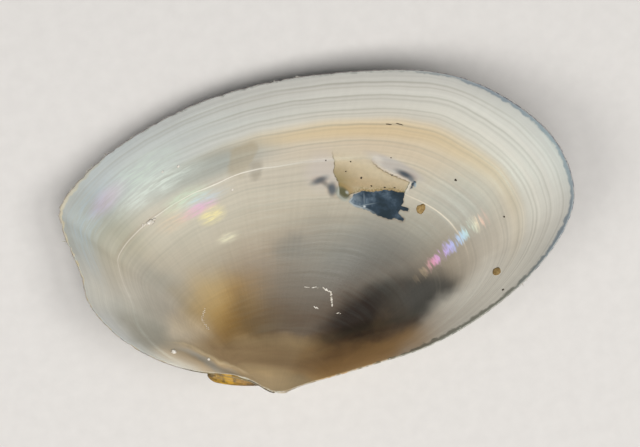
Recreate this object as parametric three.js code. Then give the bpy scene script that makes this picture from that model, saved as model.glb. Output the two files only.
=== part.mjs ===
// One valve of a pearly mussel: the valve lies on its convex outside with its hollow up, and a strip
// of the horny ligament is still on the hinge. Millimetres, +Z up.
//
// The valve is worked out in a hinge frame. Its origin is the point that the shell grows from, X runs
// along the hinge, Y runs across the valve, and the edge lies close to the plane z = 0 with the shell
// below it. The last step lays the valve on its belly, where it balances.

import * as THREE from 'three';
import { mergeVertices } from 'three/addons/utils/BufferGeometryUtils.js';

// ---- Driving dimensions, mm and radians ----

// The edge of the valve in the hinge frame, from the umbo round the long end, the open edge, the cut-off
// short end and back along the ligament.
const EDGE_POINTS = [
  [0, 0], [4, 1], [13.5, 6], [21, 10.5], [28, 17], [33.5, 24.5], [36.5, 32], [36, 38],
  [31.5, 44], [23.5, 48], [15, 49.5], [5, 48], [-9, 43.5], [-21, 37], [-31, 28], [-36, 20],
  [-35.5, 16], [-31.5, 10], [-29, 5.5], [-23, 1.5], [-15, -0.5], [-6, 0],
];
const EDGE_STEPS = 88;
const EDGE_RAYS = 720;
const MIDDLE = new THREE.Vector2(2, 24);

// Every earlier edge is the present one, shrunk by exp(-SPIRAL x turn) and turned about the hinge.
const SPIRAL = 1.6;
const HALVINGS = 40;
const LAST_TURN = 2.0;
const GROWTH_STEPS = 20;
const GROWTH_CROWDING = 1.5;

// The wall, from its thin lip to the middle, and the thicker hinge plate.
const LIP_RISE = 0.25;
const LIP_INSET = 0.2;
const LIP_WALL = 0.3;
const MIDDLE_WALL = 1.0;
const WALL_GROWS_OVER = 9;
const STEEPEST_INSIDE = 2.2;
const CORNER_ROUNDING = 4.0;
const INSIDE_STEPS = 16;
const INSIDE_CROWDING = 1.6;

// The ledge that carries the ligament runs from the umbo along the straight part of the hinge.
const LEDGE_WIDTH = 2.2;
const LEDGE_SLOPE = 0.35;
const LEDGE_ROUNDING = 1.2;
const LEDGE_NEAR = 1;
const LEDGE_FAR = 6;
const LEDGE_FROM = -24;
const LEDGE_TO = 4;
const LEDGE_FADE = 5;

// A soft fold runs from the umbo to the cut-off short end.
const FOLD_BEARING = 2.67;
const FOLD_WIDTH = 0.12;
const FOLD_HEIGHT = 0.6;

// The ligament is a tapered strip outside the hinge, just clear of the shell.
const LIGAMENT_FROM = -10.0;
const LIGAMENT_TO = -2.0;
const LIGAMENT_OFFSET = -0.56;
const LIGAMENT_RISE = -0.1;
const LIGAMENT_HALF_WIDTH = 0.62;
const LIGAMENT_HALF_DEPTH = 0.75;
const LIGAMENT_STEPS = 16;
const LIGAMENT_SIDES = 12;

// The pose that the valve balances in, and how much of the belly its flat spot takes off.
const HINGE_TO_LENGTH = THREE.MathUtils.degToRad(-22);
const LEAN_ABOUT_X = THREE.MathUtils.degToRad(-10.5);
const LEAN_ABOUT_Y = THREE.MathUtils.degToRad(-5.2);
const FLAT_SPOT = 0.16;

// ---- The edge ----

const edgeCurve = new THREE.CatmullRomCurve3(
  EDGE_POINTS.map(([x, y]) => new THREE.Vector3(x, y, 0)), true, 'catmullrom', 0.5);
const edge = edgeCurve.getSpacedPoints(EDGE_STEPS).slice(0, EDGE_STEPS);

// How far the edge is from the middle of the valve, for any direction.
const edgeRays = edgeCurve.getPoints(EDGE_RAYS).slice(0, EDGE_RAYS)
  .map((point) => new THREE.Vector2(point.x, point.y).sub(MIDDLE))
  .map((ray) => ({ angle: Math.atan2(ray.y, ray.x), reach: ray.length() }))
  .sort((a, b) => a.angle - b.angle);

function edgeReach(angle) {
  const above = edgeRays.findIndex((ray) => ray.angle > angle);
  const next = edgeRays[Math.max(above, 0)];
  const last = edgeRays[(above > 0 ? above : edgeRays.length) - 1];
  const whole = 2 * Math.PI;
  const gap = (next.angle - last.angle + whole) % whole;
  const part = (angle - last.angle + whole) % whole;
  return THREE.MathUtils.lerp(last.reach, next.reach, gap > 0 ? part / gap : 0);
}

function isOutsideEdge(x, y) {
  const ray = new THREE.Vector2(x, y).sub(MIDDLE);
  return ray.length() > edgeReach(Math.atan2(ray.y, ray.x));
}

// ---- The growth spiral ----

function foldHeight(bearing, size) {
  return FOLD_HEIGHT * size * Math.exp(-(((bearing - FOLD_BEARING) / FOLD_WIDTH) ** 2));
}

// Where a point of the edge was when the shell had turned through less than it has now.
function grownPoint(edgePoint, turn) {
  const size = Math.exp(-SPIRAL * turn);
  const fold = foldHeight(Math.atan2(edgePoint.y, edgePoint.x), size);
  return new THREE.Vector3(
    edgePoint.x * size,
    edgePoint.y * size * Math.cos(turn),
    -edgePoint.y * size * Math.sin(turn) + fold,
  );
}

// The outside wall under a point of the plane: its depth, and the height of the fold there.
function outsideUnder(x, y) {
  let low = 0;
  let high = Math.PI / 2;
  for (let i = 0; i < HALVINGS; i += 1) {
    const turn = (low + high) / 2;
    const size = Math.exp(-SPIRAL * turn);
    if (isOutsideEdge(x / size, y / (size * Math.cos(turn)))) {
      high = turn;
    } else {
      low = turn;
    }
  }
  const size = Math.exp(-SPIRAL * low);
  const bearing = Math.atan2(y / Math.cos(low), x);
  return { depth: y * Math.tan(low), fold: foldHeight(bearing, size) };
}

// ---- The inside ----

function smoothMin(a, b, rounding) {
  const mix = THREE.MathUtils.clamp(0.5 + (b - a) / (2 * rounding), 0, 1);
  return THREE.MathUtils.lerp(b, a, mix) - rounding * mix * (1 - mix);
}

// How much of the ledge there is at a place along the hinge, from 0 to 1.
function ledgeShare(edgePoint) {
  const nearHinge = 1 - THREE.MathUtils.smoothstep(edgePoint.y, LEDGE_NEAR, LEDGE_FAR);
  const begins = THREE.MathUtils.smoothstep(edgePoint.x, LEDGE_FROM - LEDGE_FADE, LEDGE_FROM + LEDGE_FADE);
  const ends = 1 - THREE.MathUtils.smoothstep(edgePoint.x, LEDGE_TO - LEDGE_FADE, LEDGE_TO + LEDGE_FADE);
  return nearHinge * begins * ends;
}

// The inner face on the line from an edge point to the middle; share 1 is the lip, 0 the middle.
function insidePoint(edgePoint, share) {
  const ray = new THREE.Vector2(edgePoint.x, edgePoint.y).sub(MIDDLE);
  const reach = ray.length();
  const inset = LIP_INSET + (1 - share) * (reach - LIP_INSET);
  const place = ray.multiplyScalar(1 - inset / reach).add(MIDDLE);
  const outside = outsideUnder(place.x, place.y);
  const wall = THREE.MathUtils.lerp(
    LIP_WALL, MIDDLE_WALL, THREE.MathUtils.smoothstep(inset, 0, WALL_GROWS_OVER));
  const ledge = LEDGE_WIDTH * ledgeShare(edgePoint);
  const past = (inset - ledge + Math.hypot(inset - ledge, LEDGE_ROUNDING)) / 2;
  const pastAtLip = (Math.hypot(ledge, LEDGE_ROUNDING) - ledge) / 2;
  const slope = LEDGE_SLOPE * inset + (STEEPEST_INSIDE - LEDGE_SLOPE) * (past - pastAtLip);
  const rounding = Math.min(CORNER_ROUNDING, inset);
  const depth = smoothMin(outside.depth - wall, slope - LIP_RISE, rounding);
  return new THREE.Vector3(place.x, place.y, outside.fold - depth);
}

// ---- Meshes ----

// A closed mesh from rings of equal length, with the first and the last ring filled to a point.
function closeRings(rings) {
  const count = rings[0].length;
  const centres = [rings[0], rings[rings.length - 1]].map((ring) =>
    ring.reduce((sum, point) => sum.add(point), new THREE.Vector3()).divideScalar(count));
  const points = [...rings.flat(), ...centres];
  const faces = [];
  for (let k = 0; k < count; k += 1) {
    const next = (k + 1) % count;
    for (let i = 0; i + 1 < rings.length; i += 1) {
      const here = i * count;
      const beyond = here + count;
      faces.push(here + k, here + next, beyond + next, here + k, beyond + next, beyond + k);
    }
    const last = (rings.length - 1) * count;
    faces.push(next, k, rings.length * count);
    faces.push(last + k, last + next, rings.length * count + 1);
  }
  const geometry = new THREE.BufferGeometry();
  geometry.setAttribute('position', new THREE.Float32BufferAttribute(points.flatMap((p) => p.toArray()), 3));
  geometry.setIndex(faces);
  return geometry;
}

// From the tip of the umbo out over the back to the lip, and from the lip in to the middle of the hollow.
function valveGeometry() {
  const outsideRings = [];
  for (let i = GROWTH_STEPS; i >= 0; i -= 1) {
    const turn = LAST_TURN * (i / GROWTH_STEPS) ** GROWTH_CROWDING;
    outsideRings.push(edge.map((point) => grownPoint(point, turn)));
  }
  const insideRings = [];
  for (let i = 0; i < INSIDE_STEPS; i += 1) {
    const share = 1 - (i / INSIDE_STEPS) ** INSIDE_CROWDING;
    insideRings.push(edge.map((point) => insidePoint(point, share)));
  }
  return closeRings([...outsideRings, ...insideRings]);
}

function ligamentGeometry() {
  const rings = [];
  for (let i = 1; i < LIGAMENT_STEPS; i += 1) {
    const along = i / LIGAMENT_STEPS;
    const swell = Math.sqrt(Math.sin(Math.PI * along));
    const x = THREE.MathUtils.lerp(LIGAMENT_FROM, LIGAMENT_TO, along);
    rings.push(Array.from({ length: LIGAMENT_SIDES }, (_, k) => {
      const angle = (2 * Math.PI * k) / LIGAMENT_SIDES;
      return new THREE.Vector3(
        x,
        LIGAMENT_OFFSET + LIGAMENT_HALF_WIDTH * swell * Math.cos(angle),
        LIGAMENT_RISE + LIGAMENT_HALF_DEPTH * swell * Math.sin(angle),
      );
    }));
  }
  return closeRings(rings);
}

// ---- The resting pose ----

function layOnBelly(geometry) {
  geometry.rotateZ(HINGE_TO_LENGTH);
  geometry.rotateX(LEAN_ABOUT_X);
  geometry.rotateY(LEAN_ABOUT_Y);
  return geometry;
}

// The lowest point of the belly is worn to a small flat spot that the valve rests on.
function flattenBelly(geometry) {
  const position = geometry.attributes.position;
  const floor = new THREE.Box3().setFromBufferAttribute(position).min.z + FLAT_SPOT;
  for (let i = 0; i < position.count; i += 1) {
    position.setZ(i, Math.max(position.getZ(i), floor));
  }
  return geometry;
}

// ---- Materials ----

const nacre = new THREE.MeshStandardMaterial({ color: '#d9d0c2', roughness: 0.3, metalness: 0 });
const horn = new THREE.MeshStandardMaterial({ color: '#a8792a', roughness: 0.35, metalness: 0 });

// ---- The object ----

const valve = new THREE.Mesh(mergeVertices(flattenBelly(layOnBelly(valveGeometry()))), nacre);
valve.name = 'valve';

const ligament = new THREE.Mesh(layOnBelly(ligamentGeometry()), horn);
ligament.name = 'ligament';

// The origin is at the middle of the whole shell's box, at its foot.
const shell = new THREE.Group();
shell.add(valve, ligament);
const box = new THREE.Box3().setFromObject(shell);
const foot = new THREE.Vector3((box.min.x + box.max.x) / 2, (box.min.y + box.max.y) / 2, box.min.z);
shell.position.copy(foot).negate();

export default shell;
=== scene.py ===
"""One valve of a pearly mussel, lying on its belly with its hollow up.

The valve is rebuilt here as a fine mesh from the same growth spiral as the CAD solid, with its
growth rests, its hinge, its flaked patch and its frayed edge. Shell sizes are in millimetres in the
hinge frame: the origin is the point that the shell grew from, X runs along the hinge, Y runs across
the valve, and the edge lies close to the plane z = 0 with the shell below it. Everything handed to
Blender is in metres, in the CAD's own frame.
"""

import math
import random

import bmesh
import bpy
import numpy as np
from mathutils import Matrix, Vector, noise


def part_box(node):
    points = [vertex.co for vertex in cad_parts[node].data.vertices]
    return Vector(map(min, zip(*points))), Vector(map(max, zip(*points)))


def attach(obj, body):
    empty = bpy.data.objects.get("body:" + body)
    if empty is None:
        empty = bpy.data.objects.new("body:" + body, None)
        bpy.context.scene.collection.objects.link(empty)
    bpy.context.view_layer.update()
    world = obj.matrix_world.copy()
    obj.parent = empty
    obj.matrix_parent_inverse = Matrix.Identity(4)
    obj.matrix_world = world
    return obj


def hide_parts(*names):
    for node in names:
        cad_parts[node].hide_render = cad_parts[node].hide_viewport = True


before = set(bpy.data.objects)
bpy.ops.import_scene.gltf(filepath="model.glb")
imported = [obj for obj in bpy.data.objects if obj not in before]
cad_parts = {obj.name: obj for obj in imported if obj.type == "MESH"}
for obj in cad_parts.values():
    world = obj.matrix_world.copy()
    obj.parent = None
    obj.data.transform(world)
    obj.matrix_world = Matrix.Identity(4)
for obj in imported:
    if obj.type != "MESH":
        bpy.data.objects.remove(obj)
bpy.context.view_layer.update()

MM = 0.001

# ---- The valve's sizes, as in the CAD ----

EDGE_POINTS = [
    (0, 0), (4, 1), (13.5, 6), (21, 10.5), (28, 17), (33.5, 24.5), (36.5, 32), (36, 38),
    (31.5, 44), (23.5, 48), (15, 49.5), (5, 48), (-9, 43.5), (-21, 37), (-31, 28), (-36, 20),
    (-35.5, 16), (-31.5, 10), (-29, 5.5), (-23, 1.5), (-15, -0.5), (-6, 0),
]
MIDDLE = np.array([2.0, 24.0])
SPIRAL = 1.6
LAST_TURN = 2.0
LIP_RISE = 0.25
LIP_INSET = 0.2
LIP_WALL = 0.3
MIDDLE_WALL = 1.0
WALL_GROWS_OVER = 9.0
STEEPEST_INSIDE = 2.2
LEDGE_ROUNDING = 1.2
CORNER_ROUNDING = 4.0
LEDGE_WIDTH = 2.2
LEDGE_SLOPE = 0.35
LEDGE_FROM = -24.0
LEDGE_TO = 4.0
LEDGE_FADE = 5.0
FOLD_BEARING = 2.67
FOLD_WIDTH = 0.12
FOLD_HEIGHT = 0.6
HINGE_TO_LENGTH = math.radians(-22)
LEAN_ABOUT_X = math.radians(-10.5)
LEAN_ABOUT_Y = math.radians(-5.2)
FLAT_SPOT = 0.16

HEIGHT = 49.2

# ---- How finely the valve is modelled ----

COLUMNS = 520
OUTSIDE_ROWS = 60
INSIDE_ROWS = 120
GROWTH_CROWDING = 1.5
INSIDE_CROWDING = 1.15

# ---- What is grown and worn into the surface ----

# The inner nacre ends at one old edge of the shell, as a fine step. Sizes are shares of the full size.
NACRE_STEP = 0.13
NACRE_STEP_BLUR = 0.004
# Old pauses in growth, counted back from the edge: each year added less than the one before it.
# Each is a low ridge on the outside and a faint swell on the inside.
FIRST_YEAR = 0.035
SLOWING = 0.0015
GROWTH_RESTS = [1 - FIRST_YEAR * n - SLOWING * n**2 for n in range(1, 13)]
NACRE_END = GROWTH_RESTS[5]
REST_RIDGE = 0.09
REST_SWELL = 0.022
REST_BLUR = 0.006
# From here to here away from the beak, growth marks fade in.
BEAK_CALM = (4.0, 9.0)
# The tooth ridge: a fine ridge that leaves the hinge on the short side of the beak, with a groove
# under it.
TOOTH_RIDGE = [(-14.6, 2.9), (-4.6, 0.85)]
RIDGE_HEIGHT = 0.16
RIDGE_BLUR = 0.32
GROOVE_DEPTH = 0.16
GROOVE_BEHIND = 0.85

# The flaked patch, where a piece of the inner nacre has come away, and the slate-dark skin bared
# beside it.
FLAKED_PATCH = [
    (0.8, 34.8), (1.5, 33.4), (1.5, 32.1), (2.3, 31.3), (2.8, 30.4), (3.3, 29.2), (4.2, 28.7),
    (4.8, 29.6), (5.9, 30.1), (7.0, 30.2), (9.0, 30.7), (10.9, 31.0), (12.5, 31.1), (12.8, 32.0),
    (13.0, 33.2), (10.4, 33.6), (8.1, 34.2), (7.2, 34.7), (6.8, 35.2), (6.9, 35.7), (7.6, 36.2),
    (7.4, 37.4), (0.8, 37.4),
]
SLATE_PATCHES = [
    [(5.2, 29.6), (6.2, 30.4), (7.4, 30.5), (9.0, 31.0), (10.6, 31.5), (11.6, 31.4), (12.6, 31.5),
     (12.9, 29.9), (12.6, 29.5), (13.9, 29.3), (13.7, 28.8), (12.4, 28.8), (12.5, 28.2), (13.6, 27.7),
     (13.2, 27.0), (12.2, 27.5), (11.2, 27.0), (9.7, 27.2), (7.5, 27.8), (5.6, 27.9), (4.7, 28.4)],
    [(13.5, 33.6), (14.0, 33.4), (13.9, 32.7), (13.2, 31.9), (13.3, 32.6)],
]
# The flake's floor rises to the nacre again between these places: across the valve, and along it.
FLAKED_FADE = (34.5, 36.2)
FLAKED_RAMP = (1.0, 6.0)
FLAKE_EDGE = 0.12
FLAP_LIP = 0.07
# The lip of the flake is raised into a flap on one side only, from here on.
FLAP_SIDE = (5.5, 7.0)
SLATE_SINK = 0.10

# The edge is chipped by up to this much; more where the shell is thin, at the short end, by bearing.
CHIP_DEPTH = 0.42
CHIP_WIDTH = 0.8
CHIP_REACH = 0.5
CHIP_WEAR = [(0.0, 0.0), (0.35, 0.1), (0.6, 0.2), (0.8, 0.2), (1.4, 0.15), (1.6, 0.4),
             (2.2, 0.8), (2.7, 1.0), (2.9, 0.3)]
# The lip is drawn out over the beak, so that the hollow runs on to the very point.
POINT_PULL = 1.15
POINT_MIDDLE = -0.3
POINT_SPAN = 2.9
POINT_REACH = 1.6

# ---- The ligament, in the hinge frame ----

LIGAMENT_FROM = -10.4
LIGAMENT_TO = -2.0
LIGAMENT_OFFSET = -0.38
LIGAMENT_RISE = -0.55
LIGAMENT_HALF_WIDTH = 1.20
LIGAMENT_HALF_DEPTH = 0.80
LIGAMENT_BLUNT = 0.22
LIGAMENT_STEPS = 60
LIGAMENT_SIDES = 48
LIGAMENT_CORD = 0.10

# ---- Small things on the shell: places and sizes in mm, turns in degrees ----

SILT_GRAINS = [(15.5, 29.6, 1.7, 1.3, 0.07, 80), (28.0, 22.7, 1.35, 1.3, 0.08, 15)]
DARK_SPECKS = [
    (3.8, 34.3, 0.26, 0.24, 0.07, 0), (5.8, 32.2, 0.36, 0.32, 0.09, 0),
    (10.2, 33.5, 0.4, 0.2, 0.07, -20),
    (9.5, 36.1, 0.24, 0.16, 0.06, 0), (0.1, 33.6, 0.2, 0.2, 0.06, 0), (9.5, 31.5, 0.35, 0.25, 0.08, 0),
    (3.3, 32.8, 0.3, 0.16, 0.06, 0), (7.6, 31.4, 0.3, 0.2, 0.07, 30), (11.1, 32.0, 0.25, 0.2, 0.07, 0),
    (19.5, 34.8, 0.4, 0.35, 0.1, 0), (29.3, 20.4, 0.35, 0.3, 0.1, 0),
    (8.1, 40.8, 0.9, 0.18, 0.06, 8), (9.6, 41.1, 1.2, 0.16, 0.06, 12), (27.5, 31.0, 0.3, 0.25, 0.1, 0),
]
CHALK_LINES = [
    ([(3.6, 15.0), (4.1, 14.7), (5.0, 14.5), (5.1, 13.8), (5.4, 13.3), (5.6, 12.5)], 0.22),
    ([(0.9, 14.4), (1.6, 14.6)], 0.12), ([(2.0, 14.7), (3.0, 14.8)], 0.12),
    ([(2.9, 11.9), (3.6, 11.7)], 0.18), ([(6.5, 11.7), (7.0, 11.7)], 0.15),
    ([(-12.9, 8.4), (-12.9, 6.8), (-11.6, 5.6)], 0.10),
]
CHALK_SPOTS = [
    (-23.3, 19.2, 1.2, 0.8, 0.25, 50), (-22.7, 20.0, 0.5, 0.35, 0.15, 50),
    (-24.2, 18.6, 0.7, 0.3, 0.12, 40), (-15.7, 1.6, 0.9, 0.6, 0.2, 0),
    (-10.5, 1.6, 0.5, 0.4, 0.15, 0), (-20.9, 28.3, 0.5, 0.35, 0.12, 0),
    (-23.0, 27.0, 0.35, 0.25, 0.1, 0), (-12.5, 26.5, 0.4, 0.3, 0.1, 0),
]
# Where the edge is frayed: place, and the length and width of a shred.
SHREDS = [
    (-33.5, 25.1, 0.9, 0.4), (-31.4, 27.9, 0.8, 0.5), (-34.0, 14.4, 0.9, 0.4), (-32.8, 12.1, 0.6, 0.3),
    (-31.8, 10.1, 0.5, 0.3), (-6.3, 44.8, 0.5, 0.4), (32.4, 22.1, 0.8, 0.3), (15.4, 7.2, 0.4, 0.3),
    (24.0, 13.5, 0.4, 0.3), (26.5, 15.8, 0.4, 0.3), (12.6, 48.9, 0.4, 0.3), (-35.4, 21.8, 0.5, 0.3),
    (-28.5, 31.0, 0.6, 0.4), (-9.5, 43.4, 0.5, 0.4), (-4.0, 45.6, 0.4, 0.3),
]

# ---- The view ----

VIEW_TURN = math.radians(12)
VIEW_AIM = (1.2, 24.3, 0)
VIEW_WIDTH = 93.2
LENS = 100
SENSOR = 36
FLOOR_HALF = 2.0
# The lamps are a trace warmer than the room round them.
LAMP_WHITE = "#fffbf7"

MEAN_REACH = 30.0
dice = random.Random(7)


def smoothstep(value, low, high):
    part = np.clip((value - low) / (high - low), 0, 1)
    return part * part * (3 - 2 * part)


def smooth_min(a, b, rounding):
    mix = np.clip(0.5 + (b - a) / (2 * rounding), 0, 1)
    return b + (a - b) * mix - rounding * mix * (1 - mix)


# ---- The edge and the growth spiral ----


def edge_line(count):
    """Evenly spaced points round the edge, on a smooth closed curve through EDGE_POINTS."""
    knots = np.array(EDGE_POINTS)
    start, end = knots, np.roll(knots, -1, 0)
    leave = (end - np.roll(knots, 1, 0)) / 2
    arrive = (np.roll(knots, -2, 0) - start) / 2
    t = np.linspace(0, 1, 60, endpoint=False)[None, :, None]
    fine = (
        start[:, None] * (2 * t**3 - 3 * t**2 + 1)
        + leave[:, None] * (t**3 - 2 * t**2 + t)
        + end[:, None] * (3 * t**2 - 2 * t**3)
        + arrive[:, None] * (t**3 - t**2)
    ).reshape(-1, 2)
    closed = np.vstack([fine, fine[:1]])
    length = np.concatenate([[0], np.cumsum(np.linalg.norm(np.diff(closed, axis=0), axis=1))])
    at = np.linspace(0, length[-1], count, endpoint=False)
    return np.stack([np.interp(at, length, closed[:, i]) for i in (0, 1)], axis=1)


EDGE_FINE = edge_line(2000)
EDGE_RAYS = EDGE_FINE - MIDDLE
RAY_ANGLES = np.arctan2(EDGE_RAYS[:, 1], EDGE_RAYS[:, 0])
RAY_REACHES = np.hypot(EDGE_RAYS[:, 0], EDGE_RAYS[:, 1])


def edge_reach(x, y):
    """How far the edge is from the middle in the direction of a point."""
    angle = np.arctan2(y - MIDDLE[1], x - MIDDLE[0])
    return np.interp(angle, RAY_ANGLES, RAY_REACHES, period=2 * math.pi)


def fold_height(bearing, size):
    return FOLD_HEIGHT * size * np.exp(-(((bearing - FOLD_BEARING) / FOLD_WIDTH) ** 2))


def grown_points(edge, turn):
    """Where the edge was when the shell still had this much to turn."""
    size = np.exp(-SPIRAL * turn)
    x, y = edge[..., 0], edge[..., 1]
    height = -y * size * np.sin(turn) + fold_height(np.arctan2(y, x), size)
    return np.stack([x * size, y * size * np.cos(turn), height], axis=-1)


def outside_under(x, y):
    """The outside wall under points of the plane: its depth, its size when it grew, and its bearing."""
    low = np.zeros_like(x)
    high = np.full_like(x, math.pi / 2)
    for _ in range(40):
        turn = (low + high) / 2
        size = np.exp(-SPIRAL * turn)
        grown_x, grown_y = x / size, y / (size * np.cos(turn))
        beyond = np.hypot(grown_x - MIDDLE[0], grown_y - MIDDLE[1]) > edge_reach(grown_x, grown_y)
        high = np.where(beyond, turn, high)
        low = np.where(beyond, low, turn)
    size = np.exp(-SPIRAL * low)
    return y * np.tan(low), size, np.arctan2(y / np.cos(low), x)


def ledge_share(edge):
    """How much of the hinge ledge there is behind each edge point, from 0 to 1."""
    near_hinge = 1 - smoothstep(edge[..., 1], 1, 6)
    begins = smoothstep(edge[..., 0], LEDGE_FROM - LEDGE_FADE, LEDGE_FROM + LEDGE_FADE)
    ends = 1 - smoothstep(edge[..., 0], LEDGE_TO - LEDGE_FADE, LEDGE_TO + LEDGE_FADE)
    return near_hinge * begins * ends


def inside_points(edge, share):
    """The inner face on the lines from edge points to the middle: share 1 is the lip, 0 the middle."""
    ray = edge - MIDDLE
    reach = np.hypot(ray[..., 0], ray[..., 1])
    inset = LIP_INSET + (1 - share) * (reach - LIP_INSET)
    place = MIDDLE + ray * (1 - inset / reach)[..., None]
    depth, size, bearing = outside_under(place[..., 0], place[..., 1])
    wall = LIP_WALL + (MIDDLE_WALL - LIP_WALL) * smoothstep(inset, 0, WALL_GROWS_OVER)
    ledge = LEDGE_WIDTH * ledge_share(edge)
    past = (inset - ledge + np.hypot(inset - ledge, LEDGE_ROUNDING)) / 2
    past = past - (np.hypot(ledge, LEDGE_ROUNDING) - ledge) / 2
    slope = LEDGE_SLOPE * inset + (STEEPEST_INSIDE - LEDGE_SLOPE) * past
    rounding = np.minimum(CORNER_ROUNDING, inset)
    inner_depth = smooth_min(depth - wall, slope - LIP_RISE, rounding)
    height = fold_height(bearing, size) - inner_depth
    return np.stack([place[..., 0], place[..., 1], height], axis=-1), size, bearing, inset


# ---- Distances that the surface and its materials are drawn from ----


def inside_outline(x, y, outline):
    """True where points lie within a closed outline."""
    inside = np.zeros(x.shape, bool)
    for (ax, ay), (bx, by) in zip(outline, outline[1:] + outline[:1]):
        crosses = (ay > y) != (by > y)
        reached = x < (bx - ax) * (y - ay) / (by - ay if by != ay else 1) + ax
        inside ^= crosses & reached
    return inside


def distance_within(x, y, outline):
    """How far points are inside a closed outline; negative outside it."""
    nearest = np.full(x.shape, np.inf)
    for (ax, ay), (bx, by) in zip(outline, outline[1:] + outline[:1]):
        dx, dy = bx - ax, by - ay
        part = np.clip(((x - ax) * dx + (y - ay) * dy) / (dx * dx + dy * dy), 0, 1)
        nearest = np.minimum(nearest, np.hypot(x - ax - part * dx, y - ay - part * dy))
    return np.where(inside_outline(x, y, outline), nearest, -nearest)


def slate_inset(x, y):
    """How far points are inside the nearest slate patch; negative outside them all."""
    return np.max([distance_within(x, y, outline) for outline in SLATE_PATCHES], axis=0)


def tooth_relief(x, y):
    """The fine ridge beside the hinge and the groove between it and the edge."""
    ridge_x, ridge_y = np.array(TOOTH_RIDGE).T
    under = np.interp(x, ridge_x, ridge_y) - y
    along = smoothstep(x, ridge_x[0] - 3, ridge_x[0] + 2)
    along = along * (1 - smoothstep(x, ridge_x[-1] - 2, ridge_x[-1]))
    ridge = RIDGE_HEIGHT * np.exp(-((under / RIDGE_BLUR) ** 2))
    groove = GROOVE_DEPTH * np.exp(-(((under - GROOVE_BEHIND) / RIDGE_BLUR) ** 2))
    return along * (ridge - groove)


def growth_relief(size):
    """Low ridges at the pauses in growth: sharp towards the edge, and fading back."""
    relief = np.zeros_like(size)
    for rest in GROWTH_RESTS:
        behind = (rest - size) / REST_BLUR
        relief += np.where(behind > 0, np.exp(-behind / 2.5), np.exp(-(behind**2)))
    return relief


def roughen(points, scale, amount):
    """Slow, even noise over points, amount high and scale wide."""
    heights = [noise.noise(Vector(point) / scale) * amount for point in points.reshape(-1, 3)]
    return np.array(heights).reshape(points.shape[:-1])


def wear_edge(rows, bearing, inset):
    """Chips the edge, and draws the lip out over the beak; both fade away from the edge."""
    place = rows.copy()
    place[..., 2] = 0
    wear = np.interp(bearing, *zip(*CHIP_WEAR))
    chips = np.clip(roughen(place, CHIP_WIDTH, 1.6) - 0.1, 0, 1) * CHIP_DEPTH
    chips = chips * wear * np.exp(-inset / CHIP_REACH)
    inward = MIDDLE - rows[..., :2]
    rows[..., :2] += inward / np.linalg.norm(inward, axis=-1, keepdims=True) * chips[..., None]
    x, y = rows[..., 0], rows[..., 1]
    behind = np.maximum(edge_reach(x, y) - np.hypot(x - MIDDLE[0], y - MIDDLE[1]), 0)
    near_beak = np.exp(-(((x - POINT_MIDDLE) / POINT_SPAN) ** 2)) * (y < MIDDLE[1] / 2)
    shallow = np.exp(-((rows[..., 2] / POINT_REACH) ** 2))
    rows[..., 1] -= POINT_PULL * near_beak * shallow * np.exp(-((behind / POINT_REACH) ** 2))
    return rows


# ---- The valve's mesh ----

TO_REST = (
    Matrix.Rotation(LEAN_ABOUT_Y, 3, "Y")
    @ Matrix.Rotation(LEAN_ABOUT_X, 3, "X")
    @ Matrix.Rotation(HINGE_TO_LENGTH, 3, "Z")
)


def lean(points):
    return points @ np.array(TO_REST).T * MM


def shift_to_cad(points):
    """The move, in metres, that puts the leaned valve where the CAD valve lies."""
    low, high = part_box("valve")
    leaned = lean(points)
    middle = (leaned.min(0) + leaned.max(0)) / 2
    floor = leaned[:, 2].min() + FLAT_SPOT * MM
    return np.array([(low.x + high.x) / 2 - middle[0], (low.y + high.y) / 2 - middle[1], low.z - floor])


EDGE = edge_line(COLUMNS)
SHIFT = shift_to_cad(grown_points(EDGE[None], np.linspace(0, LAST_TURN, 200)[:, None]).reshape(-1, 3))


def to_world(points):
    return lean(np.asarray(points, float)) + SHIFT


def outward(rows):
    """Unit normals of a sheet of rows of points, pointing away from the hollow."""
    across = np.roll(rows, -1, 1) - np.roll(rows, 1, 1)
    along = np.gradient(rows, axis=0)
    normal = np.cross(along, across)
    normal /= np.maximum(np.linalg.norm(normal, axis=-1, keepdims=True), 1e-9)
    return normal


def outside_sheet(edge):
    turns = LAST_TURN * (np.arange(OUTSIDE_ROWS, -1, -1) / OUTSIDE_ROWS) ** GROWTH_CROWDING
    size = np.repeat(np.exp(-SPIRAL * turns)[:, None], len(edge), axis=1)
    rows = grown_points(edge[None], turns[:, None])
    bearing = np.repeat(np.arctan2(edge[:, 1], edge[:, 0])[None], len(turns), axis=0)
    fade = smoothstep(size, 0.12, 0.3) * smoothstep(1 - size, 0, 0.02)
    rows = rows + outward(rows) * (REST_RIDGE * growth_relief(size) * fade)[..., None]
    inset = (1 - size) * HEIGHT
    rows = wear_edge(rows, bearing, inset)
    return {"points": rows, "growth": size, "bearing": bearing, "inset": inset}


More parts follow.
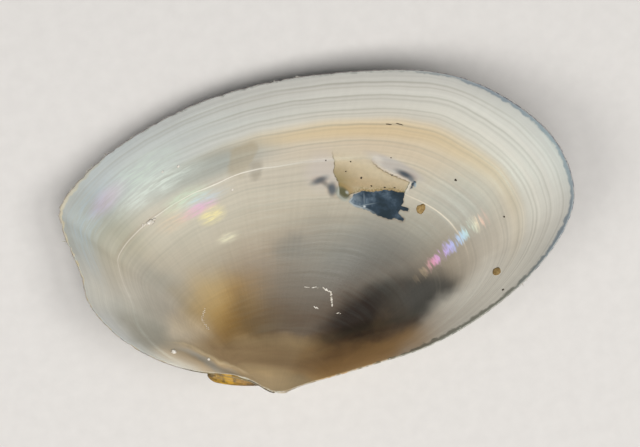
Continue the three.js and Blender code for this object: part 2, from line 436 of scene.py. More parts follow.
def inside_sheet(edge):
    shares = 1 - (np.arange(INSIDE_ROWS) / INSIDE_ROWS) ** INSIDE_CROWDING
    rows, size, bearing, inset = inside_points(edge[None], shares[:, None])
    x, y = rows[..., 0], rows[..., 1]
    flake_inset = distance_within(x, y, FLAKED_PATCH)
    closing = np.maximum(smoothstep(y, *FLAKED_FADE), 1 - smoothstep(x, *FLAKED_RAMP))
    flaked = smoothstep(flake_inset, -FLAKE_EDGE, FLAKE_EDGE)
    lip = np.exp(-(((flake_inset + 2 * FLAKE_EDGE) / FLAKE_EDGE) ** 2))
    lip *= smoothstep(NACRE_END - size, -0.01, 0.0) * smoothstep(x, *FLAP_SIDE)
    nacre = smoothstep(NACRE_END - size, -NACRE_STEP_BLUR, NACRE_STEP_BLUR)
    calm = smoothstep(inset, 0.3, 2.0) * smoothstep(np.hypot(x, y), *BEAK_CALM)
    thick = 0.35 + 0.65 * smoothstep(bearing, 1.2, 1.6)
    rows[..., 2] += calm * NACRE_STEP * thick * nacre * (1 - flaked * (1 - closing))
    rows[..., 2] += calm * REST_SWELL * growth_relief(size) * smoothstep(size, 0.60, 0.76)
    rows[..., 2] += FLAP_LIP * lip * (1 - closing)
    rows[..., 2] -= SLATE_SINK * smoothstep(slate_inset(x, y), -FLAKE_EDGE, FLAKE_EDGE)
    rows[..., 2] += tooth_relief(x, y)
    rows[..., 2] += calm * roughen(rows, 5.0, 0.06)
    rows = wear_edge(rows, bearing, inset)
    return {"points": rows, "growth": size, "bearing": bearing, "inset": inset}


def close_rings(name, points, columns, materials):
    """A closed mesh from rings of points; materials gives each band's slot, and each end is filled."""
    count = len(points) // columns
    faces = []
    for i in range(count - 1):
        here = np.arange(columns) + i * columns
        ahead = np.roll(here, -1)
        faces.append(np.stack([here, ahead, ahead + columns, here + columns], axis=1))
    faces = np.concatenate(faces).tolist()
    faces.append(list(range(columns - 1, -1, -1)))
    faces.append(list(range((count - 1) * columns, count * columns)))
    mesh = bpy.data.meshes.new(name)
    mesh.from_pydata(points.tolist(), [], faces)
    slots = np.repeat(materials, columns).tolist() + [materials[0], materials[-1]]
    mesh.polygons.foreach_set("material_index", slots)
    mesh.shade_smooth()
    piece = bpy.data.objects.new(name, mesh)
    bpy.context.scene.collection.objects.link(piece)
    return piece


def keep_numbers(mesh, name, values):
    """Stores one number, or one vector, a vertex for the materials to read."""
    vector = values.ndim == 2
    store = mesh.attributes.new(name, "FLOAT_VECTOR" if vector else "FLOAT", "POINT")
    flat = np.ascontiguousarray(values, np.float32).ravel()
    store.data.foreach_set("vector" if vector else "value", flat)


OUTSIDE = outside_sheet(EDGE)
INSIDE = inside_sheet(EDGE)
INNER_FACE = INSIDE["points"].reshape(-1, 3)
INNER_NORMALS = outward(INSIDE["points"]).reshape(-1, 3)


def make_valve():
    sheets = [OUTSIDE, INSIDE]
    plan = np.concatenate([sheet["points"].reshape(-1, 3) for sheet in sheets])
    points = to_world(plan)
    points[:, 2] = np.maximum(points[:, 2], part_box("valve")[0].z)
    bands = [1] * OUTSIDE_ROWS + [0] * INSIDE_ROWS
    valve = close_rings("valve_shell", points, COLUMNS, bands)
    keep_numbers(valve.data, "plan", plan)
    for name in ("growth", "bearing", "inset"):
        keep_numbers(valve.data, name, np.concatenate([sheet[name].ravel() for sheet in sheets]))
    keep_numbers(valve.data, "flaked", distance_within(plan[:, 0], plan[:, 1], FLAKED_PATCH))
    keep_numbers(valve.data, "slate", slate_inset(plan[:, 0], plan[:, 1]))
    return valve


# ---- Material tools ----


def colour(code):
    """A linear colour, with alpha, from an sRGB hex value."""
    parts = [int(code[i : i + 2], 16) / 255 for i in (1, 3, 5)]
    linear = [p / 12.92 if p <= 0.04045 else ((p + 0.055) / 1.055) ** 2.4 for p in parts]
    return (*linear, 1)


def wire(tree, kind, inputs=None, out=0, stops=None, **settings):
    """Adds one node with its settings and its links or values, and gives back one of its outputs."""
    made = tree.nodes.new("ShaderNode" + kind)
    for name, value in settings.items():
        setattr(made, name, value)
    for key, value in (inputs or {}).items():
        if isinstance(value, bpy.types.NodeSocket):
            tree.links.new(value, made.inputs[key])
        else:
            made.inputs[key].default_value = value
    for i, (place, shade) in enumerate(stops or []):
        stop = made.color_ramp.elements[i] if i < 2 else made.color_ramp.elements.new(place)
        stop.position = place
        stop.color = colour(shade)
    return made.outputs[out]


def new_material(name, **plain):
    """A material with one Principled shader, and the values that are the same all over it."""
    material = bpy.data.materials.new(name)
    material.use_nodes = True
    shader = material.node_tree.nodes["Principled BSDF"]
    for key, value in plain.items():
        shader.inputs[key.replace("_", " ")].default_value = value
    return material, material.node_tree, shader


# ---- Mother of pearl, the inside of the valve ----

# The milky ground: brown in the depth of the hollow, ivory up the walls, greyer where the edge is thin.
GROUND = [
    (0.00, "#85755e"), (0.22, "#6b5b49"), (0.45, "#968978"), (0.60, "#b1a592"),
    (0.74, "#bdb3a3"), (0.87, "#cac5b9"), (0.96, "#c8c6bf"), (1.00, "#aaaba7"),
]
# Bands that follow the growth: bearing and size of the middle, half spans, softness, colour, strength.
BANDS = {
    "cool short end": ((2.50, 0.93), (0.62, 0.13), 0.6, "#a1a5a7", 0.85),
    "cool middle": ((1.80, 0.95), (0.45, 0.10), 0.9, "#b3b1ab", 0.60),
    "tan": ((1.36, 0.822), (0.62, 0.026), 0.8, "#cfb88d", 0.80),
    "cream": ((1.22, 0.775), (0.42, 0.050), 0.9, "#ccb796", 0.55),
    "pewter": ((2.12, 0.795), (0.28, 0.042), 0.6, "#8f938f", 0.75),
    "long end grey": ((0.98, 0.735), (0.12, 0.060), 0.9, "#a9a8a0", 0.55),
    "long end pale": ((0.62, 0.84), (0.22, 0.16), 0.9, "#cfccc1", 0.70),
}
# Soft stains, with painted shade by the fold, the hinge and in the tooth groove, and a painted
# highlight on the tooth ridge: place, length, width and turn in mm and degrees, softness, colour and
# strength.
STAINS_AND_PAINTED_SHADE = {
    "pale short flank": ((-20.0, 16.0), (22.0, 13.0), 40, 0.9, "#bcb3a1", 0.75),
    "cream lobe": ((-26.5, 13.0), (12.0, 7.0), 60, 0.9, "#bab09a", 0.50),
    "pale foot": ((-22.0, 8.5), (12.0, 7.0), -20, 0.9, "#b6b3a9", 0.60),
    "grey short end": ((-30.6, 17.0), (8.0, 10.0), 60, 0.9, "#9b9883", 0.75),
    # Painted shade, where the fold and the hinge wall lie in shadow:
    "painted heel shade": ((-20.4, 4.0), (10.0, 4.6), -25, 0.9, "#858378", 0.75),
    "painted fold shade": ((-18.5, 10.6), (13.0, 2.4), -25, 0.9, "#98958a", 0.45),
    "painted hinge shade": ((-16.5, 3.4), (12.0, 2.0), -14, 0.8, "#8b877b", 0.50),
    "pale cloud": ((-14.0, 5.6), (6.0, 3.6), -10, 0.9, "#cfc0a6", 0.85),
    "warm brown floor": ((-2.4, 16.0), (20.0, 12.5), 10, 0.9, "#977a5a", 0.68),
    "ochre": ((-8.4, 8.8), (9.5, 8.4), 70, 0.75, "#a8803a", 0.88),
    "olive": ((-4.5, 7.4), (8.5, 6.4), 20, 0.9, "#6c5530", 0.70),
    "dusk floor": ((4.0, 12.5), (21.0, 13.0), 15, 0.9, "#58493d", 0.80),
    "grey mauve": ((9.0, 21.0), (20.0, 11.0), 20, 0.95, "#666059", 0.88),
    "grey spot": ((-1.4, 20.0), (4.6, 2.8), 30, 0.9, "#6f655b", 0.60),
    "honey hinge": ((-0.5, 3.0), (26.0, 4.8), 6, 0.7, "#c4a97e", 0.80),
    "honey edge": ((10.6, 6.2), (15.0, 4.0), 31, 0.8, "#b58b4c", 0.82),
    "honey floor": ((12.6, 8.6), (16.0, 5.4), 33, 0.9, "#bb9661", 0.92),
    "straw": ((-13.0, 9.8), (6.5, 6.5), 0, 0.9, "#c4a76e", 0.60),
    "smoke": ((16.2, 16.0), (14.0, 7.2), 38, 0.5, "#47413b", 0.90),
    "smoke tip": ((19.6, 17.6), (8.4, 5.0), 45, 0.5, "#504d49", 0.80),
    "umber": ((9.6, 11.6), (11.0, 6.6), 50, 0.6, "#2b1d16", 0.96),
    "pale lower end": ((25.6, 18.6), (15.0, 4.6), 47, 0.8, "#e0dcd0", 0.88),
    # A painted highlight along the tooth ridge, and painted shade in the groove under it:
    "tooth ridge": ((-9.6, 1.95), (10.5, 0.45), -12, 0.6, "#d2bf9a", 0.50),
    "painted groove shade": ((-10.6, 1.2), (8.0, 0.9), -12, 0.7, "#8f8f89", 0.65),
    "beak": ((0.6, 0.3), (9.0, 2.6), 8, 0.7, "#a5906e", 0.95),
    "brown patch": ((-12.3, 30.9), (3.0, 6.4), -25, 0.22, "#a3947a", 0.60),
    "brown patch corner": ((-10.2, 29.9), (1.6, 2.6), -25, 0.5, "#857766", 0.50),
}
# Each pause is a fine dark line with a fainter one behind it; two are seen bright where a layer ends.
PAUSE_SHADE = "#8f8a7c"
PAUSE_HALF_WIDTH = 0.003
PAUSE_STRENGTH = 0.42
PAUSE_FADE = 0.035
ECHO_BEHIND = 0.012
ECHO_STRENGTH = 0.6
PAUSE_BEARINGS = (0.4, 2.8)
BRIGHT_LINES = [
    (NACRE_END, 0.0022, "#f2ecdf", 0.95, 1.66, 2.68), (0.66, 0.002, "#e6d8c2", 0.80, 0.85, 1.19),
]
# Painted highlights, in pink, green, blue and gold where thin layers catch the light: bearing and size
# of the middle, half spans, colour and strength.
PAINTED_PEARL_HIGHLIGHTS = {
    "rose rim": ((2.52, 0.885), (0.075, 0.026), "#c993bb", 0.75),
    "blue rim": ((2.62, 0.900), (0.16, 0.055), "#a7b8c4", 0.60),
    "green rim": ((2.36, 0.880), (0.14, 0.045), "#c2d0c2", 0.60),
    "white bars": ((2.33, 0.815), (0.17, 0.030), "#d3dbd2", 0.75),
    "green": ((2.24, 0.728), (0.10, 0.026), "#c6dcc0", 0.75),
    "blue": ((2.17, 0.705), (0.11, 0.020), "#bcc9d6", 0.65),
    "rose": ((2.20, 0.682), (0.085, 0.016), "#dca6c6", 0.95),
    "peach": ((2.32, 0.690), (0.09, 0.030), "#dbbf9f", 0.55),
    "gold": ((2.14, 0.645), (0.060, 0.022), "#ecdd98", 0.90),
    "white gold": ((2.09, 0.562), (0.055, 0.012), "#dfd8b8", 0.75),
}
# A painted highlight: a rainbow streak across the growth at one bearing, its colours by size.
HIGHLIGHT_STREAK_BEARING = 0.893
HIGHLIGHT_STREAK_HALF_WIDTH = 0.0225
PAINTED_RAINBOW_HIGHLIGHT = [
    (0.495, "#b5a083"), (0.535, "#bba88c"), (0.562, "#eda8c0"), (0.585, "#e2b0e6"), (0.610, "#c9b8f2"),
    (0.640, "#bccbf8"), (0.665, "#c4e2f4"), (0.690, "#d3eada"), (0.712, "#e6dcc0"), (0.735, "#ecc0b0"),
]
SLATE = [(0.36, "#151d2b"), (0.50, "#1a2230"), (0.60, "#283445"), (0.70, "#4a5868"), (0.84, "#8795a0")]
# Glassy bits and smears by the flaked patch, as stains, and a painted highlight in the lens.
GLASSY_BITS_AND_LENS_GLINT = [
    ((7.6, 35.5), (0.90, 0.50), -35, 0.80, "#cdc3b5", 0.50),
    ((3.5, 29.3), (1.25, 0.75), -32, 0.30, "#8f978f", 0.70),
    ((3.7, 29.6), (1.05, 0.60), -30, 0.45, "#4f4a28", 0.90),
    ((2.9, 29.6), (0.14, 0.60), 12, 0.6, "#b4bab2", 0.60),
    # A painted highlight: the small pale dot in the lens.
    ((4.2, 29.7), (0.24, 0.18), -30, 0.95, "#c6ccc9", 0.60),
    ((7.2, 28.2), (0.17, 0.13), 0, 0.9, "#d5dcde", 0.80),
    ((7.4, 28.5), (1.2, 0.07), 22, 0.8, "#8d99a0", 0.50),
    ((6.9, 29.3), (0.07, 0.8), 14, 0.8, "#8d99a0", 0.45),
    ((5.9, 29.2), (0.6, 0.35), -30, 0.9, "#75818a", 0.60),
    ((-0.2, 30.6), (1.2, 0.45), 35, 0.8, "#454b55", 0.85),
    ((0.9, 30.2), (1.2, 0.35), -25, 0.8, "#5c5855", 0.60),
    ((13.9, 32.9), (0.18, 0.35), 10, 0.6, "#8fa1ad", 0.80),
    ((1.9, 29.7), (0.60, 0.95), 12, 0.6, "#434c58", 0.85),
    ((12.1, 34.1), (1.30, 0.40), -14, 0.8, "#273344", 0.90),
    ((13.2, 33.5), (0.50, 0.28), -30, 0.8, "#5b6570", 0.70),
]
# The band behind the rim: its colour, and its width in mm as a shade of grey, by how far round the
# edge it is from the hinge, over the short end, the far edge (0.5) and the long end, and back.
EDGE_COLOURS = [
    (0.00, "#a89878"), (0.10, "#b9ae98"), (0.15, "#b2974f"), (0.23, "#c4b99e"), (0.27, "#90908a"),
    (0.53, "#949590"), (0.60, "#6e7b88"), (0.73, "#717f8c"), (0.77, "#6a6c60"), (0.87, "#6a6b5e"),
    (1.00, "#a89878"),
]
EDGE_WIDTHS = [
    (0.00, "#606060"), (0.20, "#808080"), (0.24, "#e0e0e0"), (0.27, "#909090"), (0.53, "#909090"),
    (0.60, "#d0d0d0"), (0.86, "#d0d0d0"), (0.90, "#606060"),
]
# Bared skin beside the slate patch is matt too: middle and half spans.
MATT_PATCHES = [((3.0, 29.7), (2.4, 1.4)), ((12.4, 33.9), (1.8, 0.9)), ((-0.2, 30.6), (1.6, 0.8))]
STRIA_SPACING = 0.42
RAY_SPACING = 0.55


def shell_places(tree):
    """The places that the shell's patterns are drawn in, in millimetres or in shares of full size."""
    places = {name: wire(tree, "Attribute", out="Fac", attribute_name=name)
              for name in ("growth", "bearing", "inset", "flaked", "slate")}
    plan = wire(tree, "Attribute", out="Vector", attribute_name="plan")
    sway = wire(tree, "TexNoise", {"Vector": plan, "Scale": 1 / 7, "Detail": 3.0}, out="Color")
    sway = wire(tree, "VectorMath", {0: sway, 1: (0.5, 0.5, 0.5)}, operation="SUBTRACT")
    places["plan"] = plan
    inputs = {0: sway, 1: (5, 5, 0), 2: plan}
    places["soft_plan"] = wire(tree, "VectorMath", inputs, operation="MULTIPLY_ADD")
    drift = wire(tree, "TexNoise", {"Vector": plan, "Scale": 1 / 9, "Detail": 2.0}, out="Fac")
    inputs = {"Value": drift, "From Min": 0.3, "From Max": 0.7, "To Min": -0.004, "To Max": 0.004}
    drift = wire(tree, "MapRange", inputs)
    places["line"] = wire(tree, "Math", {0: places["growth"], 1: drift}, operation="ADD")
    back = wire(tree, "Math", {0: places["line"], 1: HEIGHT}, operation="MULTIPLY")
    round_edge = wire(tree, "Math", {0: places["bearing"], 1: MEAN_REACH}, operation="MULTIPLY")
    places["grown"] = wire(tree, "CombineXYZ", {0: back, 1: round_edge})
    places["turned"] = wire(tree, "CombineXYZ", {0: places["bearing"], 1: places["line"]})
    return places


def bars(tree, places, spacing, length, detail=2.0, turned=False):
    """Noise from 0 to 1 in fine lines along the growth, or in rays across it; sizes in mm."""
    scale = (1 / length, 1 / spacing, 1) if turned else (1 / spacing, 1 / length, 1)
    place = wire(tree, "VectorMath", {0: places["grown"], 1: scale}, operation="MULTIPLY")
    return wire(tree, "TexNoise", {"Vector": place, "Scale": 1.0, "Detail": detail}, out="Fac")


def patch(tree, place, middle, spans, turn, softness, strength):
    """A soft oval, full strength in its middle and 0 outside."""
    inputs = {"Vector": place, "Location": (*middle, 0), "Rotation": (0, 0, math.radians(turn)),
              "Scale": (spans[0], spans[1], 1000)}
    place = wire(tree, "Mapping", inputs, vector_type="TEXTURE")
    distance = wire(tree, "VectorMath", {0: place}, out="Value", operation="LENGTH")
    inputs = {"Value": distance, "From Min": 1 + softness, "From Max": 1 - softness, "To Max": strength}
    return wire(tree, "MapRange", inputs, interpolation_type="SMOOTHSTEP")


def paint(tree, ground, *coats):
    """Lays coats over a ground in turn: each is where it shows, from 0 to 1, and its colour."""
    for share, shade in coats:
        over = colour(shade) if isinstance(shade, str) else shade
        ground = wire(tree, "Mix", {0: share, 6: ground, 7: over}, out=2, data_type="RGBA")
    return ground


def line_at(tree, value, middle, half_width, strength):
    """A soft line where a value passes a middle, half_width to each side."""
    apart = wire(tree, "Math", {0: value, 1: middle}, operation="SUBTRACT")
    apart = wire(tree, "Math", {0: apart}, operation="ABSOLUTE")
    inputs = {"Value": apart, "From Min": half_width * 1.6, "From Max": 0, "To Max": strength}
    return wire(tree, "MapRange", inputs, interpolation_type="SMOOTHSTEP")


def ground_colour(tree, places):
    """The milky ground, its cool and creamy ends, and the stains, painted shade and painted highlight
    in it.
    """
    ground = wire(tree, "ValToRGB", {"Fac": places["line"]}, stops=GROUND)
    for middle, spans, softness, shade, strength in BANDS.values():
        share = patch(tree, places["turned"], middle, spans, 0, softness, strength)
        ground = paint(tree, ground, (share, shade))
    for middle, size, turn, softness, shade, strength in STAINS_AND_PAINTED_SHADE.values():
        spans = (size[0] / 2, size[1] / 2)
        share = patch(tree, places["soft_plan"], middle, spans, turn, softness, strength)
        ground = paint(tree, ground, (share, shade))
    return ground


def growth_lines(tree, places, ground):
    """Pause lines, fine striae along the growth and faint rays across it."""
    broken = bars(tree, places, 1.2, 26.0)
    beak = wire(tree, "VectorMath", {0: places["plan"]}, out="Value", operation="LENGTH")
    beak = wire(tree, "MapRange", {"Value": beak, "From Min": BEAK_CALM[0], "From Max": BEAK_CALM[1]})
    lines = list(BRIGHT_LINES)
    for n, rest in enumerate(GROWTH_RESTS[:9]):
        strength = PAUSE_STRENGTH - PAUSE_FADE * n
        lines.append((rest, PAUSE_HALF_WIDTH, PAUSE_SHADE, strength, *PAUSE_BEARINGS))
        echo = strength * ECHO_STRENGTH
        lines.append((rest - ECHO_BEHIND, PAUSE_HALF_WIDTH, PAUSE_SHADE, echo, *PAUSE_BEARINGS))
    for size, half_width, shade, strength, begins, ends in lines:
        share = line_at(tree, places["line"], size, half_width, strength)
        share = wire(tree, "Math", {0: share, 1: beak}, operation="MULTIPLY")
        run = line_at(tree, places["bearing"], (begins + ends) / 2, (ends - begins) / 2, 2.0)
        share = wire(tree, "Math", {0: share, 1: run}, operation="MULTIPLY")
        share = wire(tree, "Math", {0: share, 1: broken}, operation="MULTIPLY")
        share = wire(tree, "Math", {0: share, 1: 1.15}, operation="MULTIPLY", use_clamp=True)
        ground = paint(tree, ground, (share, shade))
    for spacing, length, turned, inner, outer in (
        (2.6, 60.0, False, 0.06, 0.26),
        (STRIA_SPACING, 18.0, False, 0.20, 0.32),
        (RAY_SPACING, 9.0, True, 0.18, 0.08),
    ):
        ripple = bars(tree, places, spacing, length, turned=turned)
        ripple = wire(tree, "Math", {0: ripple, 1: 0.5}, operation="SUBTRACT")
        inputs = {"Value": places["growth"], "From Min": 0.45, "From Max": 0.85, "To Min": inner}
        contrast = wire(tree, "MapRange", {**inputs, "To Max": outer})
        shade = wire(tree, "Math", {0: ripple, 1: contrast, 2: 1.0}, operation="MULTIPLY_ADD")
        ground = wire(tree, "VectorMath", {0: ground, 1: shade}, operation="MULTIPLY")
    return ground


def paint_pearl_highlights(tree, places, ground):
    """Painted highlights: patches of pink, green, blue and gold, broken into bars by the striae that
    make them, and a rainbow streak.
    """
    fine = bars(tree, places, 0.36, 2.4, detail=3.0)
    for middle, spans, shade, strength in PAINTED_PEARL_HIGHLIGHTS.values():
        share = patch(tree, places["turned"], middle, spans, 0, 0.75, 1.0)
        inputs = {"Value": fine, "From Min": 0.42, "From Max": 0.62, "To Min": 0.35, "To Max": 1.0}
        barred = wire(tree, "MapRange", inputs)
        share = wire(tree, "Math", {0: share, 1: barred}, operation="MULTIPLY")
        share = wire(tree, "Math", {0: share, 1: strength}, operation="MULTIPLY")
        ground = paint(tree, ground, (share, shade))
    # The rainbow streak, a painted highlight: ragged at its sides, cut into bars and held between two
    # sizes.
    ragged = bars(tree, places, 0.30, 1.1, detail=2.0)
    inputs = {"Value": ragged, "From Min": 0.3, "From Max": 0.7, "To Min": -0.014, "To Max": 0.014}
    ragged = wire(tree, "MapRange", inputs)
    across = wire(tree, "Math", {0: places["bearing"], 1: ragged}, operation="ADD")
    share = line_at(tree, across, HIGHLIGHT_STREAK_BEARING, HIGHLIGHT_STREAK_HALF_WIDTH, 1.0)
    cut = bars(tree, places, 0.62, 5.0, detail=1.0)
    inputs = {"Value": cut, "From Min": 0.44, "From Max": 0.52, "To Min": 0.12, "To Max": 1.0}
    cut = wire(tree, "MapRange", inputs)
    inner = wire(tree, "MapRange", {"Value": places["growth"], "From Min": 0.48, "From Max": 0.58},
                 interpolation_type="SMOOTHSTEP")
    outer = wire(tree, "MapRange", {"Value": places["growth"], "From Min": 0.75, "From Max": 0.73},
                 interpolation_type="SMOOTHSTEP")
    for part in (cut, inner, outer):
        share = wire(tree, "Math", {0: share, 1: part}, operation="MULTIPLY")
    rainbow_highlight = wire(tree, "ValToRGB", {"Fac": places["growth"]}, stops=PAINTED_RAINBOW_HIGHLIGHT)
    return paint(tree, ground, (share, rainbow_highlight))


def flaked_patch(tree, places, ground):
    """Where the nacre has flaked: bare tan shell, a dark crack, a bright lip and slate-dark skin."""
    inputs = {"Vector": places["plan"], "Scale": 1 / 0.7, "Detail": 4.0}
    grit = wire(tree, "TexNoise", inputs, out="Fac")
    inputs = {"Vector": places["plan"], "Scale": 1 / 0.25, "Detail": 2.0}
    fine = wire(tree, "TexNoise", inputs, out="Fac")
    inputs = {"Value": grit, "From Min": 0.3, "From Max": 0.7, "To Min": -0.12, "To Max": 0.12}
    ragged = wire(tree, "MapRange", inputs)
    flaked = wire(tree, "Math", {0: places["flaked"], 1: ragged}, operation="ADD")
    slate = wire(tree, "Math", {0: places["slate"], 1: ragged}, operation="ADD")
    across = wire(tree, "SeparateXYZ", {"Vector": places["plan"]}, out=0)
    height = wire(tree, "SeparateXYZ", {"Vector": places["plan"]}, out=1)

    flap = patch(tree, places["plan"], (10.4, 34.9), (4.4, 0.95), -13, 0.35, 0.75)
    ground = paint(tree, ground, (flap, "#aca4a0"))
    milky = patch(tree, places["plan"], (0.0, 32.0), (2.4, 2.6), 0, 0.6, 0.6)
    ground = paint(tree, ground, (milky, "#bdb2ac"))

    open_top = wire(tree, "MapRange", {"Value": height, "From Min": 36.4, "From Max": 34.2})
    inside = wire(tree, "MapRange", {"Value": flaked, "From Min": -0.04, "From Max": 0.08})
    inside = wire(tree, "Math", {0: inside, 1: open_top}, operation="MULTIPLY")
    lower = wire(tree, "MapRange", {"Value": height, "From Min": 36.0, "From Max": 31.5})
    inputs = {"Fac": lower}
    bare = wire(tree, "ValToRGB", inputs, stops=[(0.0, "#c6bba4"), (0.45, "#beae90"), (1.0, "#a8906a")])
    ground = paint(tree, ground, (inside, bare))
    inputs = {"Value": grit, "From Min": 0.3, "From Max": 0.7, "To Min": 0.93, "To Max": 1.07}
    mottle = wire(tree, "MapRange", inputs)
    mottled = wire(tree, "VectorMath", {0: ground, 1: mottle}, operation="MULTIPLY")
    ground = paint(tree, ground, (inside, mottled))
    fringe = wire(tree, "MapRange", {"Value": slate, "From Min": -0.9, "From Max": -0.1})
    spots = wire(tree, "MapRange", {"Value": fine, "From Min": 0.40, "From Max": 0.62})
    inputs = {"Value": across, "From Min": 5.5, "From Max": 2.5, "To Max": 0.8}
    left_side = wire(tree, "MapRange", inputs)
    fringe = wire(tree, "Math", {0: fringe, 1: spots}, operation="MULTIPLY")
    fringe = wire(tree, "Math", {0: fringe, 1: left_side}, operation="MAXIMUM")
    fringe = wire(tree, "Math", {0: fringe, 1: inside}, operation="MULTIPLY")
    below = wire(tree, "MapRange", {"Value": height, "From Min": 33.6, "From Max": 31.2})
    fringe = wire(tree, "Math", {0: fringe, 1: below}, operation="MULTIPLY")
    ground = paint(tree, ground, (fringe, "#7e6c37"))

    edge_seen = wire(tree, "MapRange", {"Value": height, "From Min": 35.4, "From Max": 33.8})
    inputs = {"Value": grit, "From Min": 0.36, "From Max": 0.56, "To Min": 0.25, "To Max": 1.0}
    patchy = wire(tree, "MapRange", inputs)
    crack = line_at(tree, flaked, 0.05, 0.09, 0.90)
    for share in (edge_seen, patchy):
        crack = wire(tree, "Math", {0: crack, 1: share}, operation="MULTIPLY")
    ground = paint(tree, ground, (crack, "#5f4c2c"))
    lip = line_at(tree, flaked, -0.20, 0.14, 0.55)
    flap_side = wire(tree, "MapRange", {"Value": across, "From Min": 6.0, "From Max": 6.8})
    over_slate = wire(tree, "MapRange", {"Value": height, "From Min": 31.4, "From Max": 32.0})
    for share in (flap_side, over_slate, edge_seen):
        lip = wire(tree, "Math", {0: lip, 1: share}, operation="MULTIPLY")
    ground = paint(tree, ground, (lip, "#ded3c4"))

    inputs = {"Vector": places["plan"], "Scale": 1 / 3.2, "Detail": 5.0, "Roughness": 0.6}
    cloud = wire(tree, "TexNoise", inputs, out="Fac")
    paler = wire(tree, "MapRange", {"Value": across, "From Min": 11.0, "From Max": 3.5, "To Max": 0.16})
    cloud = wire(tree, "Math", {0: cloud, 1: paler}, operation="ADD")
    blue = wire(tree, "ValToRGB", {"Fac": cloud}, stops=SLATE)
    dark = wire(tree, "MapRange", {"Value": slate, "From Min": -0.05, "From Max": 0.07})
    ground = paint(tree, ground, (dark, blue))
    glass = line_at(tree, places["slate"], 0.12, 0.15, 0.8)
    glass_side = wire(tree, "MapRange", {"Value": across, "From Min": 9.5, "From Max": 6.5})
    glass = wire(tree, "Math", {0: glass, 1: glass_side}, operation="MULTIPLY")
    below = wire(tree, "MapRange", {"Value": height, "From Min": 29.4, "From Max": 28.9})
    glass = wire(tree, "Math", {0: glass, 1: below}, operation="MULTIPLY")
    ground = paint(tree, ground, (glass, "#a8b1b4"))
    for middle, spans, turn, softness, shade, strength in GLASSY_BITS_AND_LENS_GLINT:
        share = patch(tree, places["plan"], middle, spans, turn, softness, strength)
        ground = paint(tree, ground, (share, shade))
    return ground


def edge_band(tree, places, ground):
    """The thin edge: chalky chips on the rim, and a translucent band of slate blue, olive or gold."""
    inputs = {"Vector": places["plan"], "Scale": 1 / 1.1, "Detail": 4.0}
    chips = wire(tree, "TexNoise", inputs, out="Fac")
    inputs = {"Value": chips, "From Min": 0.3, "From Max": 0.7, "To Min": -0.22, "To Max": 0.22}
    uneven = wire(tree, "MapRange", inputs)
    inset = wire(tree, "Math", {0: places["inset"], 1: uneven}, operation="ADD")
    ray = wire(tree, "VectorMath", {0: places["plan"], 1: (*MIDDLE, 0)}, operation="SUBTRACT")
    ray_x = wire(tree, "SeparateXYZ", {"Vector": ray}, out=0)
    ray_y = wire(tree, "SeparateXYZ", {"Vector": ray}, out=1)
    place = wire(tree, "Math", {0: ray_x, 1: ray_y}, operation="ARCTAN2")
    place = wire(tree, "Math", {0: place, 1: 1 / (2 * math.pi), 2: 0.5}, operation="MULTIPLY_ADD")
    tint = wire(tree, "ValToRGB", {"Fac": place}, stops=EDGE_COLOURS)
    width = wire(tree, "ValToRGB", {"Fac": place}, stops=EDGE_WIDTHS)
    depth = wire(tree, "Math", {0: inset, 1: width}, operation="DIVIDE")
    band = wire(tree, "MapRange", {"Value": depth, "From Min": 1.25, "From Max": 0.75, "To Max": 0.8},
                interpolation_type="SMOOTHSTEP")
    ground = paint(tree, ground, (band, tint))
    rim = wire(tree, "MapRange", {"Value": inset, "From Min": 0.24, "From Max": 0.08})
    chalk = wire(tree, "MapRange", {"Value": chips, "From Min": 0.40, "From Max": 0.55})
    rim = wire(tree, "Math", {0: rim, 1: chalk}, operation="MULTIPLY")
    return paint(tree, ground, (rim, "#d4d2c8"))


def mother_of_pearl():
    """Nacre, laid down in very thin layers: milky and satin, with a faint play of colour from a thin
    film, and painted highlights of pink, green, blue and gold.
    """
    material, tree, shader = new_material(
        "mother_of_pearl", IOR=1.53, Specular_IOR_Level=0.30,
        Thin_Film_Thickness=820.0, Thin_Film_IOR=1.545,
    )
    places = shell_places(tree)
    ground = ground_colour(tree, places)
    ground = growth_lines(tree, places, ground)
    ground = paint_pearl_highlights(tree, places, ground)
    ground = flaked_patch(tree, places, ground)
    ground = edge_band(tree, places, ground)
    tree.links.new(ground, shader.inputs["Base Color"])
    gloss = bars(tree, places, STRIA_SPACING, 12.0)
    inputs = {"Value": gloss, "From Min": 0.3, "From Max": 0.7, "To Min": 0.30, "To Max": 0.46}
    gloss = wire(tree, "MapRange", inputs)
    inputs = {"Value": places["slate"], "From Min": -0.3, "From Max": 0.1, "To Max": 0.85}
    matt = wire(tree, "MapRange", inputs)
    for middle, spans in MATT_PATCHES:
        bared = patch(tree, places["plan"], middle, spans, 0, 0.4, 0.85)
        matt = wire(tree, "Math", {0: matt, 1: bared}, operation="MAXIMUM")
    gloss = wire(tree, "Math", {0: gloss, 1: matt}, operation="MAXIMUM")
    tree.links.new(gloss, shader.inputs["Roughness"])
    striae = bars(tree, places, STRIA_SPACING, 18.0)
    rays = bars(tree, places, RAY_SPACING, 9.0, turned=True)
    height = wire(tree, "Math", {0: rays, 1: 0.3, 2: striae}, operation="MULTIPLY_ADD")
    bump = wire(tree, "Bump", {"Height": height, "Strength": 0.3, "Distance": 0.02 * MM})
    tree.links.new(bump, shader.inputs["Normal"])
    return material


# ---- The other finishes ----


# The skin by size when it grew, and the dried horn along the ligament.
SKIN = [
    (0.00, "#cfc6b4"), (0.16, "#c4b79c"), (0.30, "#a8966a"), (0.45, "#a39063"), (0.60, "#8f8058"),
    (0.72, "#9a8a5f"), (0.82, "#7d7352"), (0.90, "#84795a"), (0.96, "#6d6a58"), (1.00, "#5f6062"),
]
AMBER = [
    (0.00, "#4a370e"), (0.08, "#94701c"), (0.35, "#c2961f"), (0.60, "#a67c20"), (0.85, "#5d4213"),
    (1.00, "#2a1d0c"),
]


